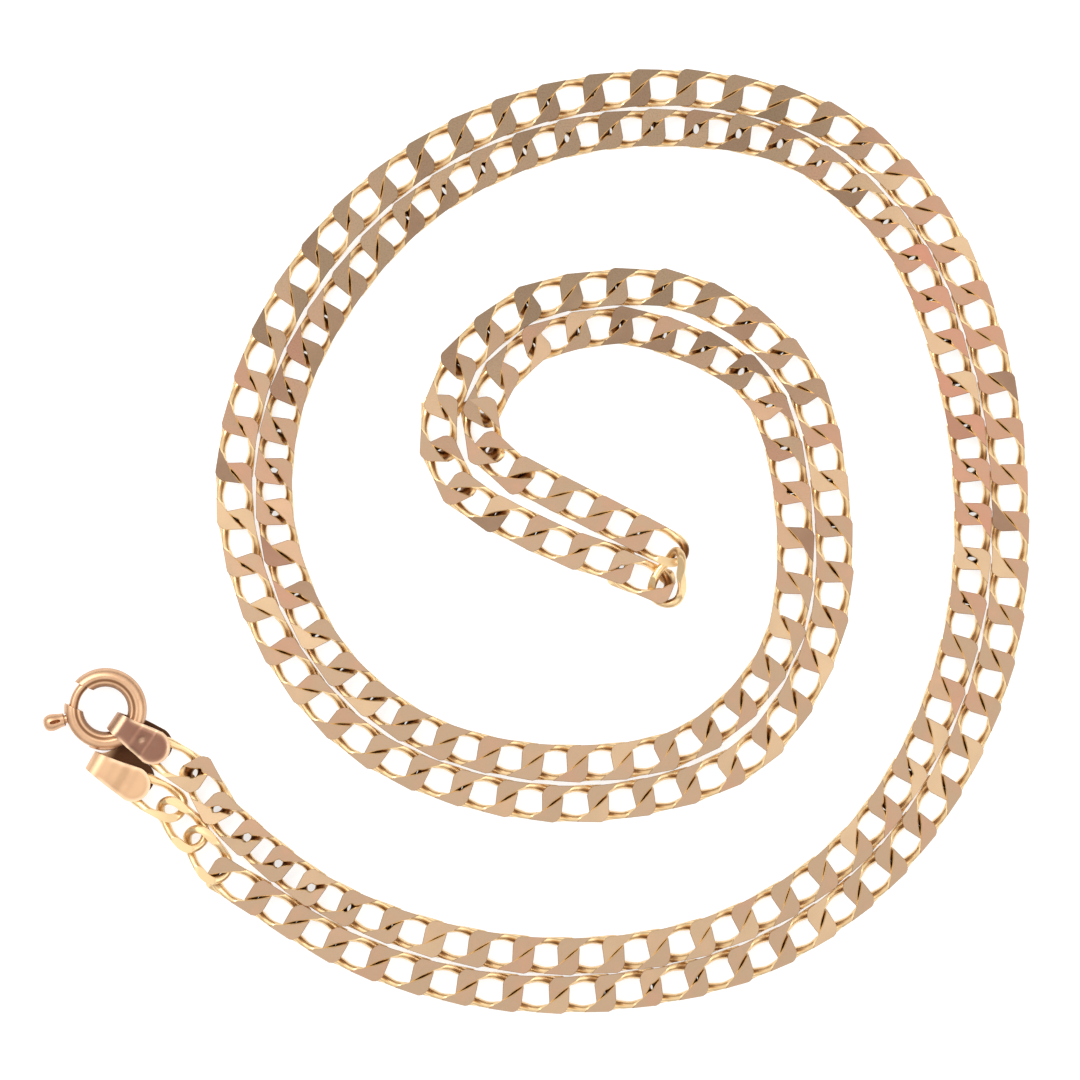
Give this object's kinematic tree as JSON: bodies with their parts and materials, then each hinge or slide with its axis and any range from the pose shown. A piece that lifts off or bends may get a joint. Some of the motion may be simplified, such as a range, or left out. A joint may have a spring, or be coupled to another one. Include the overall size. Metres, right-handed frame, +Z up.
{
  "type": "curb chain necklace",
  "caption": "Flat filed curb chain necklace with a spring ring clasp, lying doubled in a spiral, each end held in a folded tab.",
  "frame": {"origin": "middle of the laid-out necklace, on the surface that it lies on", "axes": "+Z up from the surface, +X to the right and +Y away from the clasp's end as seen from above in the picture"},
  "size_m": [0.068, 0.065, 0.0027],
  "materials": {
    "chain_gold": "filed and polished",
    "clasp_gold": "polished",
    "ring_tab_gold": "satin",
    "end_tab_gold": "polished"
  },
  "bodies": {
    "necklace": {"chain_outer": "chain_gold", "chain_inner": "chain_gold", "spring_ring": "clasp_gold", "ring_tab": "ring_tab_gold", "end_tab": "end_tab_gold"},
    "bolt": {"trigger_bolt": "clasp_gold"}
  },
  "joints": [
    {"name": "bolt_slide", "type": "hinge", "parent": "necklace", "child": "bolt", "pos_m": [-0.02967, -0.01158, 0.00095], "axis": [0, 0, 1], "range_deg": [0, 45], "stiffness_Nm_per_rad": 0.001, "springref_deg": -22.92}
  ]
}
